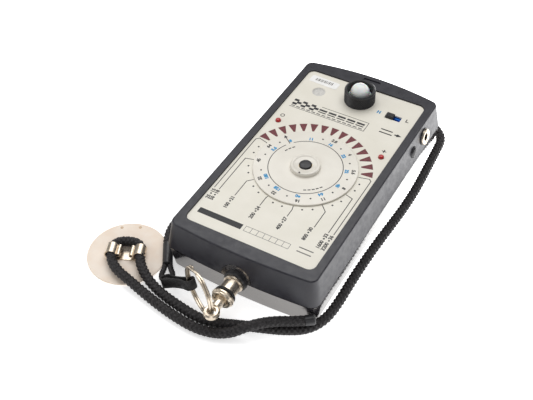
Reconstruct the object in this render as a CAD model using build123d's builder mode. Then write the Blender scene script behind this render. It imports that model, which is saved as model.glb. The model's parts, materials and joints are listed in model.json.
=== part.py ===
from build123d import *

import os
from math import atan, cos, pi, radians, sin, tan

# A hand-held flash meter with a braided neck cord, in millimetres.
# The rear face lies on z = 0, +Y points to the sensor end and +X to the side with the sockets.

# ---------------------------------------------------------------- driving dimensions
seam_height = 13.8
rim_height = 28.8
panel_top = 28.0
panel_thickness = 0.8
wall = 2.2
roof_thickness = 1.8
play = 0.2                       # gap round a piece that lies in a pocket

# Outlines as half width, front end, back end and corner radius
floor_outline = (40.4, -75.0, 76.9, 5.0)
seam_outline = (41.9, -76.4, 78.3, 5.0)
rim_outline = (39.6, -73.5, 75.7, 4.0)
front_bow = 2.2                  # how far the ends bulge
back_bow = 4.5

panel_width = 70.0
panel_length = 130.9
panel_corner = 3.5

dial_y = -6.84
dial_radius = 26.9
dial_thickness = 0.75
dial_gap = 0.25
hub_radius = 7.8
hub_top = 31.1
bush_bore = 3.28
bush_radius = 4.3
button_radius = 3.2
reset_travel = 1.0

window_count = 15
window_step = 10
window_first = 20                # degrees from +X, about the dial's centre
window_inner = 28.2
window_outer = 34.1
window_tip_half = 0.5
window_wide_half = 2.15

led_x = 30.2
led_y = 18.6
led_radius = 1.5

sensor_x = 0.6
sensor_y = 54.6
sensor_hole = 5.2
collar_radius = 8.5
collar_bore = 6.8
collar_height = 7.8
dome_radius = 5.25
dome_foot_radius = 6.4
dome_centre_height = 33.3

trimmer_x = -22.3
trimmer_y = 50.3
trimmer_radius = 3.6

switch_x = 22.8
switch_y = 49.9
switch_slot = (8.8, 4.0)
switch_body = (11.2, 6.2)
knob_size = (4.6, 3.6)
range_travel = 3.6

side_centre_height = 21.3
socket_y = 51.0
flash_y = 37.0
flash_radius = 3.2
flash_travel = 1.2

board_bottom = 21.0
board_top = 22.6
board_width = 72.0
board_length = 118.0
board_screw_x = 31.0
board_screw_y = 54.0
case_screw_x = 34.0
case_screw_y = 66.5

battery_size = (48.5, 26.5, 17.5)
battery_x = -2.0
battery_y = -42.0
battery_bottom = 3.0
stud_length = 2.8
stud_pitch = 12.7
snap_thickness = 3.9
cover_size = (54.0, 31.0)

coupling_height = 13.0
ear_radius = 8.1
barrel_radius = 4.3
plug_radius = 2.42
eye_y = -97.9
eye_radius = 4.0
eye_hole = 2.3
eye_thickness = 3.0
collar_travel = 1.2

ring_radius = 12.0               # to the middle of the wire
ring_wire = (1.5, 1.15)          # radial, axial
ring_normal = (-0.5, -0.866, 0.0)
ring_side = (0.866, -0.5, 0.0)
ring_height = 16.2

cord_radius = 2.55
cord_height = 2.6
eye_cord_radius = 1.2

roof_bottom = panel_top - panel_thickness - roof_thickness
side_draft = atan((seam_outline[0] - rim_outline[0]) / (rim_height - seam_height))
side_normal = (cos(side_draft), 0, sin(side_draft))


# ---------------------------------------------------------------- shared shapes
def case_outline(height, inset=0.0):
    """The case's outline at a height: straight sides, bowed ends and rounded corners."""
    if height < seam_height:
        share = height / seam_height
        low, high = floor_outline, seam_outline
    else:
        share = (height - seam_height) / (rim_height - seam_height)
        low, high = seam_outline, rim_outline
    half_width, front, back, corner = [a + (b - a) * share for a, b in zip(low, high)]
    half_width -= inset
    front += inset
    back -= inset
    with BuildSketch(Plane.XY.offset(height)) as outline:
        with BuildLine():
            Line((-half_width, front + front_bow), (-half_width, back - back_bow))
            ThreePointArc((-half_width, back - back_bow), (0, back), (half_width, back - back_bow))
            Line((half_width, back - back_bow), (half_width, front + front_bow))
            ThreePointArc((half_width, front + front_bow), (0, front), (-half_width, front + front_bow))
        make_face()
        fillet(outline.vertices(), max(corner - inset, 1.5))
    return outline.sketch


def case_block(low, high, inset=0.0):
    """The drafted block between two heights, with the outline moved in by an inset."""
    return loft([case_outline(low, inset), case_outline(high, inset)], ruled=True)


def turned(profile, plane=Plane.XY):
    """A solid turned about a plane's normal from (radius, height) points."""
    section_plane = Plane(origin=plane.origin, x_dir=plane.x_dir, z_dir=-plane.y_dir)
    with BuildPart() as solid:
        with BuildSketch(section_plane):
            with BuildLine():
                Polyline(*profile, close=True)
            make_face()
        revolve(axis=Axis(plane.origin, plane.z_dir))
    return solid.part


def tube(plane, low, high, outer, inner):
    """A plain tube along a plane's normal."""
    return turned([(inner, low), (outer, low), (outer, high), (inner, high)], plane)


def rod(plane, low, high, radius):
    """A plain rod along a plane's normal."""
    return turned([(0, low), (radius, low), (radius, high), (0, high)], plane)


def radial_plane(angle, height):
    """A level plane on the dial's axis whose x direction points along an angle."""
    outward = (cos(radians(angle)), sin(radians(angle)), 0)
    return Plane(origin=(0, dial_y, height), x_dir=outward, z_dir=(0, 0, 1))


def arc_band(height, inner, outer, end_angle):
    """A flat band of the window arc, from one end angle to its mirror image."""
    sweep_angle = 180 - 2 * end_angle
    with BuildSketch(Plane(origin=(0, dial_y, height))) as band:
        with BuildLine():
            outside = CenterArc((0, 0), outer, end_angle, sweep_angle)
            inside = CenterArc((0, 0), inner, end_angle, sweep_angle)
            Line(outside @ 0, inside @ 0)
            Line(outside @ 1, inside @ 1)
        make_face()
    return band.sketch


def window_wedge(angle, height, clearance=0.0):
    """The outline of one read-out window, narrower by a clearance on each side."""
    inner = window_inner + clearance
    outer = window_outer - clearance
    tip_half = window_tip_half - clearance
    wide_half = window_wide_half - clearance
    with BuildSketch(radial_plane(angle, height)) as wedge:
        with BuildLine():
            Polyline((inner, -tip_half), (outer, -wide_half), (outer, wide_half), (inner, tip_half),
                     close=True)
        make_face()
    return wedge.sketch


def coil_spring(plane, low, high, radius, wire, turns):
    """An open coil spring along a plane's normal."""
    rise = (high - low) - wire
    with BuildPart() as spring:
        with BuildLine() as path:
            Helix(rise / turns, rise, radius, center=(0, 0, low + wire / 2))
        start = path.edges()[0]
        with BuildSketch(Plane(origin=start @ 0, z_dir=start % 0)):
            Circle(wire / 2)
        sweep(path=start, is_frenet=True)
    return plane.location * spring.part


def bend_radii(points):
    """The radius of each bend of a cord's route: as large as its two runs allow."""
    radii = []
    for before, here, after in zip(points, points[1:], points[2:]):
        run_in = Vector(*here) - Vector(*before)
        run_out = Vector(*after) - Vector(*here)
        half_turn = radians(run_in.get_angle(run_out)) / 2
        radii.append(0.45 * min(run_in.length, run_out.length) / tan(half_turn))
    return radii


def cord_tube(name, points, radius, radii):
    """A cord's tube along straight runs joined by arcs; prints its bends, length and volume."""
    with BuildPart() as cord:
        with BuildLine() as route:
            FilletPolyline(*points, radius=radii)
        start = Vector(*points[0])
        with BuildSketch(Plane(origin=start, z_dir=Vector(*points[1]) - start)):
            Circle(radius)
        sweep(path=route.wires()[0])
    length = route.wires()[0].length
    fullness = cord.part.volume / (pi * radius ** 2 * length)
    print(name, "length", round(length, 1), "mm, smallest bend", round(min(radii), 1), "mm")
    print("   volume over section x length", round(fullness, 4))
    print("   bends", [round(r, 1) for r in radii])
    return cord.part


dial_plane = Plane(origin=(0, dial_y, 0))
sensor_plane = Plane(origin=(sensor_x, sensor_y, 0))
side_x = seam_outline[0] - tan(side_draft) * (side_centre_height - seam_height)
socket_plane = Plane(origin=(side_x, socket_y, side_centre_height), x_dir=(0, 1, 0), z_dir=side_normal)
flash_plane = Plane(origin=(side_x, flash_y, side_centre_height), x_dir=(0, 1, 0), z_dir=side_normal)
coupling_plane = Plane(origin=(0, 0, coupling_height), x_dir=(1, 0, 0), z_dir=(0, -1, 0))
case_screw_places = [(x, y) for x in (-case_screw_x, case_screw_x) for y in (-case_screw_y, case_screw_y)]
board_screw_places = [(-board_screw_x, -board_screw_y), (board_screw_x, -board_screw_y),
                      (-board_screw_x, board_screw_y)]
window_angles = [window_first + window_step * i for i in range(window_count)]
battery_end = Plane(
    origin=(battery_x + (battery_size[0] - stud_length) / 2, battery_y, battery_bottom + battery_size[2] / 2),
    x_dir=(0, 1, 0), z_dir=(1, 0, 0),
)

# ---------------------------------------------------------------- case
upper_block = case_block(seam_height, rim_height)
upper_hollow = case_block(seam_height, roof_bottom, wall)
lower_hollow = case_block(wall, seam_height, wall)

with BuildPart() as upper_case:
    add(upper_block)
    fillet(upper_case.faces().sort_by(Axis.Z)[-1].edges(), 0.9)
    add(upper_hollow, mode=Mode.SUBTRACT)
    # pocket for the panel
    with BuildSketch(Plane.XY.offset(rim_height)):
        RectangleRounded(panel_width + 2 * play, panel_length + 2 * play, panel_corner + play)
    extrude(amount=-(rim_height - panel_top + panel_thickness), mode=Mode.SUBTRACT)
    # shallow moulded recess in the border behind the sensor
    with BuildSketch(Plane.XY.offset(rim_height)):
        with Locations((0, 70.6)):
            RectangleRounded(10, 4, 0.6)
    extrude(amount=-0.6, mode=Mode.SUBTRACT)
    # bosses for the board and for the case screws
    with BuildSketch(Plane.XY.offset(board_top)):
        with Locations(*board_screw_places):
            Circle(3)
    extrude(amount=roof_bottom - board_top + 0.1)
    with BuildSketch(Plane.XY.offset(seam_height)):
        with Locations(*case_screw_places):
            Circle(3.6)
    extrude(amount=roof_bottom - seam_height + 0.1)
    with BuildSketch(Plane.XY.offset(seam_height)):
        with Locations(*case_screw_places):
            Circle(1.55)
    extrude(amount=9, mode=Mode.SUBTRACT)
    with BuildSketch(Plane.XY.offset(board_top)):
        with Locations(*board_screw_places):
            Circle(1.05)
    extrude(amount=2.6, mode=Mode.SUBTRACT)
    # openings in the roof
    with BuildSketch(Plane.XY.offset(roof_bottom)):
        with Locations((0, dial_y)):
            Circle(bush_radius + 0.05)
        with Locations((sensor_x, sensor_y)):
            Circle(sensor_hole)
        with Locations((-led_x, led_y), (led_x, led_y)):
            Circle(led_radius + 0.1)
        with Locations((switch_x, switch_y)):
            Rectangle(switch_body[0] + 0.4, switch_body[1] + 0.4)
        with Locations((trimmer_x, trimmer_y)):
            Circle(1.6)
        add(arc_band(roof_bottom, window_inner - 0.8, window_outer + 1.2, 13))
    extrude(amount=roof_thickness, mode=Mode.SUBTRACT)
    # holes through the side wall
    add(rod(socket_plane, -wall - 1, 1, 3.3), mode=Mode.SUBTRACT)
    add(rod(flash_plane, -wall - 1, 1, flash_radius + 0.08), mode=Mode.SUBTRACT)
    # half-round notch over the coupling
    with BuildSketch(Plane(origin=(0, -60, seam_height), x_dir=(1, 0, 0), z_dir=(0, -1, 0))):
        Circle(ear_radius + 0.15)
    extrude(amount=30, mode=Mode.SUBTRACT)

with BuildPart() as front_ear:
    # the half-round tab of the lower shell that fills the notch, flush with the upper shell
    add(upper_block)
    add(upper_hollow, mode=Mode.SUBTRACT)
    with BuildSketch(Plane(origin=(0, -60, seam_height), x_dir=(1, 0, 0), z_dir=(0, -1, 0))):
        Circle(ear_radius)
    extrude(amount=30, mode=Mode.INTERSECT)

with BuildPart() as seam_groove:
    # the shadow line between the two shells
    add(case_block(seam_height - 0.5, seam_height, -0.5))
    add(case_block(seam_height - 0.5, seam_height, 0.55), mode=Mode.SUBTRACT)

with BuildPart() as lower_case:
    add(case_block(0, seam_height))
    fillet(lower_case.faces().sort_by(Axis.Z)[0].edges(), 1.2)
    add(lower_hollow, mode=Mode.SUBTRACT)
    add(seam_groove.part, mode=Mode.SUBTRACT)
    add(front_ear.part)
    # battery opening in the floor and the ribs round the battery
    with BuildSketch(Plane.XY):
        with Locations((0, battery_y)):
            RectangleRounded(cover_size[0] + 0.6, cover_size[1] + 0.6, 1.3)
    extrude(amount=wall, mode=Mode.SUBTRACT)
    with BuildSketch(Plane.XY.offset(wall)):
        with Locations((0, battery_y)):
            Rectangle(cover_size[0] + 4, cover_size[1] + 4)
            Rectangle(cover_size[0] + 1.6, cover_size[1] + 1.6, mode=Mode.SUBTRACT)
    extrude(amount=9)
    # bosses and countersunk holes for the case screws
    with BuildSketch(Plane.XY.offset(wall - 0.1)):
        with Locations(*case_screw_places):
            Circle(3.6)
    extrude(amount=seam_height - wall + 0.1)
    with Locations(*[(x, y, 0) for x, y in case_screw_places]):
        Cylinder(1.7, seam_height, align=(Align.CENTER, Align.CENTER, Align.MIN), mode=Mode.SUBTRACT)
        Cylinder(3.0, 3.0, align=(Align.CENTER, Align.CENTER, Align.MIN), mode=Mode.SUBTRACT)
    # coupling hole with its spot face
    add(rod(coupling_plane, 60, 80, 5.0), mode=Mode.SUBTRACT)
    add(rod(coupling_plane, 75.2, 80, 6.1), mode=Mode.SUBTRACT)

with BuildPart() as battery_cover:
    with BuildSketch(Plane.XY):
        with Locations((0, battery_y)):
            RectangleRounded(cover_size[0], cover_size[1], 1.0)
    extrude(amount=2.0)
    # finger scallop and grip lines on the outside
    with BuildSketch(Plane.XY):
        with Locations((0, battery_y + 9)):
            SlotOverall(16, 5)
    extrude(amount=0.8, mode=Mode.SUBTRACT)
    with BuildSketch(Plane.XY):
        with Locations(*[(0, battery_y - 12 + 2 * i) for i in range(6)]):
            Rectangle(20, 0.8)
    extrude(amount=0.4, mode=Mode.SUBTRACT)

with BuildPart() as case_screws:
    for x, y in case_screw_places:
        with BuildSketch(Plane.XY.offset(1.2)):
            with Locations((x, y)):
                Circle(2.8)
                Rectangle(4.2, 0.7, mode=Mode.SUBTRACT)
                Rectangle(0.7, 4.2, mode=Mode.SUBTRACT)
        extrude(amount=0.9)
        with BuildSketch(Plane.XY.offset(2.1)):
            with Locations((x, y)):
                Circle(2.8)
        extrude(amount=0.9)
        with BuildSketch(Plane.XY.offset(3.0)):
            with Locations((x, y)):
                Circle(1.5)
        extrude(amount=18.5)

# ---------------------------------------------------------------- panel and read-out
with BuildPart() as facia_panel:
    with BuildSketch(Plane.XY.offset(panel_top - panel_thickness)):
        RectangleRounded(panel_width, panel_length, panel_corner)
        with Locations((0, dial_y)):
            Circle(bush_radius + 0.05, mode=Mode.SUBTRACT)
        with Locations((sensor_x, sensor_y)):
            Circle(sensor_hole, mode=Mode.SUBTRACT)
        with Locations((-led_x, led_y), (led_x, led_y)):
            Circle(led_radius + 0.1, mode=Mode.SUBTRACT)
        with Locations((trimmer_x, trimmer_y)):
            Circle(trimmer_radius + 0.05, mode=Mode.SUBTRACT)
        with Locations((switch_x, switch_y)):
            Rectangle(*switch_slot, mode=Mode.SUBTRACT)
    extrude(amount=panel_thickness)
    for angle in window_angles:
        extrude(window_wedge(angle, panel_top), amount=-panel_thickness, mode=Mode.SUBTRACT)

with BuildPart() as window_filter:
    # an arc strip under the panel with one wedge lug in each window
    strip_top = panel_top - panel_thickness
    extrude(arc_band(strip_top - 1.2, window_inner - 0.6, window_outer + 1.0, 13.6), amount=1.2)
    for angle in window_angles:
        extrude(window_wedge(angle, strip_top, 0.05), amount=panel_thickness - 0.05)

with BuildPart() as display_leds:
    for angle in window_angles:
        with BuildSketch(radial_plane(angle, board_top)):
            with Locations(((window_inner + window_outer) / 2, 0)):
                Rectangle(5.0, 2.4)
        extrude(amount=2.4)


def small_led(x, y):
    """A 3 mm round LED that stands on the board and shows through the panel."""
    return turned(
        [(0, 23.6), (1.9, 23.6), (1.9, 24.6), (led_radius, 24.6), (led_radius, 28.4), (1.3, 28.95),
         (0.8, 29.3), (0, 29.4)],
        Plane(origin=(x, y, 0)),
    )


with BuildPart() as under_led:
    add(small_led(-led_x, led_y))

with BuildPart() as over_led:
    add(small_led(led_x, led_y))

with BuildPart() as stock_label:
    with BuildSketch(Plane(origin=(-23.3, 59.2, panel_top), x_dir=(0.9992, -0.04, 0), z_dir=(0, 0, 1))):
        RectangleRounded(17.2, 5.6, 1.0)
    extrude(amount=0.12)

# ---------------------------------------------------------------- light sensor and calibration
with BuildPart() as sensor_collar:
    rib_count = 9
    groove = 0.22
    rib_pitch = (collar_height - 1.6) / rib_count
    outside = [(collar_radius, panel_top)]
    for i in range(rib_count):
        base = panel_top + 0.6 + i * rib_pitch
        outside += [(collar_radius, base), (collar_radius - groove, base + 0.2),
                    (collar_radius - groove, base + 0.4), (collar_radius, base + 0.6)]
    top = panel_top + collar_height
    outside += [(collar_radius, top - 0.6), (collar_radius - 0.6, top), (collar_bore + 0.4, top),
                (collar_bore, top - 0.4), (collar_bore, panel_top + 2.0), (sensor_hole, panel_top + 2.0),
                (sensor_hole, panel_top)]
    add(turned(outside, sensor_plane))

with BuildPart() as diffuser_dome:
    with BuildSketch(Plane(origin=(sensor_x, sensor_y, 0), x_dir=(1, 0, 0), z_dir=(0, -1, 0))):
        with BuildLine():
            Polyline((0, panel_top + 2.0), (dome_foot_radius, panel_top + 2.0),
                     (dome_foot_radius, panel_top + 3.4), (dome_radius, panel_top + 3.4),
                     (dome_radius, dome_centre_height))
            CenterArc((0, dome_centre_height), dome_radius, 0, 90)
            Line((0, dome_centre_height + dome_radius), (0, dome_centre_height + dome_radius - 1.0))
            CenterArc((0, dome_centre_height), dome_radius - 1.0, 90, -90)
            Polyline((dome_radius - 1.0, dome_centre_height), (dome_radius - 1.0, panel_top + 3.0),
                     (0, panel_top + 3.0), (0, panel_top + 2.0))
        make_face()
    revolve(axis=Axis((sensor_x, sensor_y, 0), (0, 0, 1)))

with BuildPart() as photodiode:
    add(rod(sensor_plane, board_top, 26.6, 4.0))
    add(rod(sensor_plane, 26.6, 27.8, 3.2))

with BuildPart() as trimmer_cap:
    cap_plane = Plane(origin=(trimmer_x, trimmer_y, 0))
    cap_bottom = panel_top - panel_thickness
    add(turned([(0, cap_bottom), (trimmer_radius, cap_bottom), (trimmer_radius, panel_top - 0.15),
                (trimmer_radius - 0.5, panel_top - 0.15), (trimmer_radius - 0.7, panel_top - 0.4),
                (0, panel_top - 0.4)], cap_plane))

with BuildPart() as trimmer:
    add(rod(cap_plane, board_top, board_top + 2.2, 3.2))
    with BuildSketch(Plane.XY.offset(board_top + 2.2)):
        with Locations((trimmer_x, trimmer_y)):
            Rectangle(2.4, 0.6)
    extrude(amount=-0.7, mode=Mode.SUBTRACT)

# ---------------------------------------------------------------- calculator dial and reset button
dial_bottom = panel_top + dial_gap
dial_top = dial_bottom + dial_thickness

with BuildPart() as calculator_dial:
    add(turned([(bush_radius + 0.06, dial_bottom), (dial_radius - 0.1, dial_bottom),
                (dial_radius, dial_bottom + 0.15), (dial_radius, dial_top - 0.2),
                (dial_radius - 0.25, dial_top), (bush_radius + 0.06, dial_top)], dial_plane))

with BuildPart() as dial_hub:
    # a raised ring with a bowl inside; its hollow underside covers the washer and the clip
    add(turned([(6.1, dial_top), (hub_radius, dial_top), (hub_radius, hub_top - 0.8),
                (hub_radius - 0.35, hub_top - 0.2), (hub_radius - 1.0, hub_top), (6.3, hub_top - 0.1),
                (5.7, hub_top - 0.45), (4.0, 30.3), (3.5, 30.25), (3.5, 29.85), (6.1, 29.85)], dial_plane))

with BuildPart() as dial_bush:
    add(turned([(bush_bore, roof_bottom - 0.8), (7.0, roof_bottom - 0.8), (7.0, roof_bottom),
                (bush_radius, roof_bottom), (bush_radius, 29.18), (bush_radius - 0.4, 29.18),
                (bush_radius - 0.4, 29.58), (bush_radius, 29.58), (bush_radius, 29.7), (bush_bore, 29.7)],
               dial_plane))

with BuildPart() as dial_washer:
    add(tube(dial_plane, dial_top + 0.02, dial_top + 0.16, 5.7, bush_radius + 0.06))

with BuildPart() as dial_clip:
    add(tube(dial_plane, 29.2, 29.55, 5.6, bush_radius - 0.36))
    with BuildSketch(Plane.XY.offset(29.2)):
        with Locations((0, dial_y - 5)):
            Rectangle(3.0, 4.6)
    extrude(amount=0.35, mode=Mode.SUBTRACT)

with BuildPart() as reset_button:
    add(turned([(0, 23.95), (4.6, 23.95), (4.6, roof_bottom - 0.85), (button_radius, roof_bottom - 0.85),
                (button_radius, 30.75), (2.9, 31.05), (2.2, 31.22), (1.2, 31.29), (0, 31.3)], dial_plane))
    add(rod(dial_plane, 21.75, 24.0, 1.5))

with BuildPart() as reset_spring:
    add(coil_spring(dial_plane, board_top + 0.02, 23.93, 3.0, 0.3, 2.5))

with BuildPart() as reset_switch:
    with BuildSketch(Plane.XY.offset(16.4)):
        with Locations((0, dial_y)):
            RectangleRounded(7, 7, 0.6)
    extrude(amount=board_bottom - 16.4 - 0.3)
    with BuildSketch(Plane.XY.offset(board_bottom - 0.3)):
        with Locations(*[(x, dial_y + y) for x in (-2.9, 2.9) for y in (-2.9, 2.9)]):
            Circle(0.4)
    extrude(amount=0.3)

# ---------------------------------------------------------------- range switch
with BuildPart() as range_switch:
    with BuildSketch(Plane.XY.offset(board_top)):
        with Locations((switch_x, switch_y)):
            Rectangle(*switch_body)
    extrude(amount=26.6 - board_top)
    with BuildSketch(Plane.XY.offset(26.6)):
        with Locations((switch_x, switch_y)):
            Rectangle(7.6, 1.6)
    extrude(amount=-1.6, mode=Mode.SUBTRACT)

knob_x = switch_x - range_travel / 2
with BuildPart() as range_knob:
    with BuildSketch(Plane.XY.offset(26.9)):
        with Locations((knob_x, switch_y)):
            RectangleRounded(*knob_size, 0.5)
    extrude(amount=2.5)
    chamfer(range_knob.faces().sort_by(Axis.Z)[-1].edges(), 0.35)
    with BuildSketch(Plane.XY.offset(29.4)):
        with Locations(*[(knob_x - 1.2 + 0.8 * i, switch_y) for i in range(4)]):
            Rectangle(0.3, 3.0)
    extrude(amount=-0.25, mode=Mode.SUBTRACT)
    with BuildSketch(Plane.XY.offset(25.3)):
        with Locations((knob_x, switch_y)):
            Rectangle(2.0, 1.2)
    extrude(amount=1.7)

# ---------------------------------------------------------------- side: sync socket and open-flash button
with BuildPart() as sync_socket:
    # threaded barrel with a jack bore, on a square body inside the case
    add(tube(socket_plane, -3.0, 1.0, 3.2, 1.8))
    with BuildSketch(socket_plane.offset(-wall - 0.8)):
        Rectangle(10, 7.6)
        Circle(1.8, mode=Mode.SUBTRACT)
    extrude(amount=-7)

with BuildPart() as sync_washer:
    add(tube(socket_plane, 0.0, 0.45, 4.75, 3.25))

with BuildPart() as sync_nut:
    add(turned([(3.25, 0.45), (4.35, 0.45), (4.35, 1.15), (4.05, 1.5), (3.3, 1.6), (2.2, 1.25), (2.2, 1.05),
                (3.25, 1.05)], socket_plane))
    for side in (-1, 1):
        with BuildSketch(socket_plane.offset(1.7)):
            with Locations((0, side * 3.35)):
                Circle(0.5)
        extrude(amount=-0.9, mode=Mode.SUBTRACT)

with BuildPart() as sync_contact:
    with BuildSketch(socket_plane.offset(-wall - 7.8)):
        Rectangle(5, 0.6)
    extrude(amount=-1.0)

with BuildPart() as flash_button:
    # domed cap, guide stem, inner stop flange and a blind bore for its spring
    add(turned([(0, 1.65), (1.4, 1.55), (2.4, 1.15), (3.0, 0.5), (flash_radius, 0.2),
                (flash_radius, -wall - 0.1), (4.1, -wall - 0.1), (4.1, -wall - 0.9), (1.5, -wall - 0.9),
                (1.5, 0.2), (0, 0.2)], flash_plane))

with BuildPart() as flash_spring:
    # sits in the button's bore and goes with it; its far end enters the switch's cup
    add(coil_spring(flash_plane, -6.9, 0.1, 1.15, 0.3, 6))

with BuildPart() as flash_switch:
    with BuildSketch(flash_plane.offset(-4.6)):
        Rectangle(9, 8.4)
    extrude(amount=-6)
    add(rod(flash_plane, -8.4, -4.6, 1.6), mode=Mode.SUBTRACT)

# ---------------------------------------------------------------- inside: board, battery and wiring
with BuildPart() as circuit_board:
    with BuildSketch(Plane.XY.offset(board_bottom)):
        Rectangle(board_width, board_length)
        # clear of the socket and button bodies on the right-hand side
        with Locations((board_width / 2, (socket_y + flash_y) / 2)):
            Rectangle(13, 27, mode=Mode.SUBTRACT)
        with Locations((0, dial_y)):
            Circle(2.0, mode=Mode.SUBTRACT)
        with Locations(*board_screw_places):
            Circle(1.3, mode=Mode.SUBTRACT)
    extrude(amount=board_top - board_bottom)

with BuildPart() as board_screws:
    for x, y in board_screw_places:
        with BuildSketch(Plane.XY.offset(board_bottom - 1.5)):
            with Locations((x, y)):
                Circle(2.1)
                Rectangle(3.2, 0.6, mode=Mode.SUBTRACT)
        extrude(amount=0.8)
        with BuildSketch(Plane.XY.offset(board_bottom - 0.7)):
            with Locations((x, y)):
                Circle(2.1)
        extrude(amount=0.7)
        with BuildSketch(Plane.XY.offset(board_bottom)):
            with Locations((x, y)):
                Circle(1.0)
        extrude(amount=3.9)

with BuildPart() as logic_chips:
    for x, y in ((-18, 12), (6, 12), (-18, 32), (2, 34)):
        with BuildSketch(Plane.XY.offset(board_bottom - 4.0)):
            with Locations((x, y)):
                Rectangle(19.5, 6.4)
        extrude(amount=3.4)
        with BuildSketch(Plane.XY.offset(board_bottom - 1.0)):
            with Locations(*[(x - 7.6 + 2.54 * i, y + side * 3.6) for i in range(7) for side in (-1, 1)]):
                Rectangle(0.5, 0.9)
        extrude(amount=1.0)

with BuildPart() as capacitors:
    for x, y, radius, length in ((22, -18, 4.0, 14), (-24, -18, 3.0, 11), (-28, 46, 3.0, 11)):
        with BuildSketch(Plane(origin=(x - length / 2, y, board_bottom - radius - 0.1), x_dir=(0, 1, 0),
                               z_dir=(1, 0, 0))):
            Circle(radius)
        extrude(amount=length)

with BuildPart() as battery:
    # a 9 V block on its side with its two studs
    with BuildSketch(Plane.XY.offset(battery_bottom)):
        with Locations((battery_x, battery_y)):
            RectangleRounded(battery_size[0] - stud_length, battery_size[1], 1.2)
    extrude(amount=battery_size[2])
    with BuildSketch(battery_end):
        with Locations((-stud_pitch / 2, 0), (stud_pitch / 2, 0)):
            Circle(2.9)
    extrude(amount=stud_length)

with BuildPart() as battery_snap:
    with BuildSketch(battery_end.offset(0.4)):
        RectangleRounded(24, 11.5, 2)
    extrude(amount=snap_thickness)
    with BuildSketch(battery_end.offset(0.4)):
        with Locations((-stud_pitch / 2, 0), (stud_pitch / 2, 0)):
            Circle(3.1)
    extrude(amount=stud_length, mode=Mode.SUBTRACT)

with BuildPart() as battery_leads:
    lead_start_x, _, lead_height = battery_end.offset(0.4 + snap_thickness).origin
    for side in (-1, 1):
        lead_x = lead_start_x + 4 - 1.5 * side
        start_y = battery_y + 3 * side
        end_y = start_y + 12
        with BuildLine() as lead_path:
            FilletPolyline(
                (lead_start_x, start_y, lead_height), (lead_x, start_y, lead_height),
                (lead_x, end_y, lead_height + 1.75), (lead_x, end_y, board_bottom), radius=1.8,
            )
        with BuildSketch(Plane(origin=(lead_start_x, start_y, lead_height), z_dir=(1, 0, 0))):
            Circle(0.6)
        sweep(path=lead_path.wires()[0])

with BuildPart() as battery_foam:
    with BuildSketch(Plane.XY.offset(2.3)):
        with Locations((0, battery_y)):
            Rectangle(40, 22)
    extrude(amount=battery_bottom - 2.3)

# ---------------------------------------------------------------- neck-cord coupling
# Its pieces are turned about the -Y axis; their heights are distances from y = 0.
with BuildPart() as coupling_bezel:
    add(turned([(4.05, 74.0), (4.95, 74.0), (4.95, 75.2), (6.0, 75.2), (6.0, 77.5), (5.6, 78.0),
                (4.05, 78.0)], coupling_plane))

with BuildPart() as coupling_nut:
    with BuildSketch(coupling_plane.offset(70.4)):
        RegularPolygon(6.4, 6)
        Circle(4.02, mode=Mode.SUBTRACT)
    extrude(amount=2.8)

with BuildPart() as coupling_barrel:
    # thread through the front wall, inner flange, barrel and a nose that guides the release collar
    add(turned([(2.5, 66.0), (3.95, 66.0), (3.95, 78.0), (5.1, 78.0), (5.1, 78.9), (4.7, 79.2),
                (barrel_radius, 79.3), (barrel_radius, 86.7), (3.1, 86.7), (3.1, 90.6), (2.5, 90.6)],
               coupling_plane))

with BuildPart() as barrel_ring:
    add(turned([(4.32, 85.3), (4.9, 85.25), (5.3, 85.5), (5.45, 86.0), (5.3, 86.45), (4.9, 86.7),
                (4.32, 86.65)], coupling_plane))

with BuildPart() as release_collar:
    add(turned([(3.16, 87.0), (5.0, 87.0), (5.6, 87.3), (5.8, 87.8), (5.8, 88.5), (5.3, 89.0), (5.2, 89.5),
                (4.9, 90.0), (3.9, 90.0), (3.16, 89.4)], coupling_plane))

with BuildPart() as coupling_plug:
    # stem with a groove for the lock, a shoulder and an upright-holed eye
    add(turned([(0, 70.0), (1.9, 70.0), (plug_radius, 70.8), (plug_radius, 74.0), (2.0, 74.4), (2.0, 75.6),
                (plug_radius, 76.0), (plug_radius, 94.6), (2.1, 95.0), (0, 95.0)], coupling_plane))
    half = eye_thickness / 2
    eye_plane = Plane(origin=(0, eye_y, coupling_height))
    add(turned([(0, -half), (eye_radius - 0.7, -half), (eye_radius, -half + 0.7), (eye_radius, half - 0.7),
                (eye_radius - 0.7, half), (0, half)], eye_plane))
    add(rod(eye_plane, -half - 1, half + 1, eye_hole), mode=Mode.SUBTRACT)

# the ring stands on its edge, passes through the eye and leans away from it
ring_reach = (ring_radius ** 2 - (ring_height - coupling_height) ** 2) ** 0.5 + 0.3
ring_centre = (-ring_side[0] * ring_reach, eye_y - ring_side[1] * ring_reach, ring_height)
ring_plane = Plane(origin=ring_centre, x_dir=ring_side, z_dir=ring_normal)


def ring_outward(angle):
    """The direction from the ring's centre to a point of its wire."""
    return ring_plane.x_dir * cos(radians(angle)) + ring_plane.y_dir * sin(radians(angle))


def ring_point(angle):
    """A point in the middle of the ring's wire."""
    return ring_plane.origin + ring_outward(angle) * ring_radius


with BuildPart() as split_ring:
    # two turns side by side, with a gap cut in each where the wire ends
    with BuildSketch(Plane(origin=ring_centre, x_dir=ring_side, z_dir=(0, 0, -1))):
        with Locations((ring_radius, -ring_wire[1] / 2 + 0.01), (ring_radius, ring_wire[1] / 2 - 0.01)):
            RectangleRounded(*ring_wire, 0.4)
    revolve(axis=Axis(ring_plane.origin, ring_plane.z_dir))
    for side, angle in ((1, 248), (-1, 262)):
        with BuildSketch(Plane(origin=ring_point(angle), x_dir=ring_outward(angle), z_dir=ring_plane.z_dir)):
            Rectangle(3.0, 0.7)
        extrude(amount=side * 3.0, mode=Mode.SUBTRACT)

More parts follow.
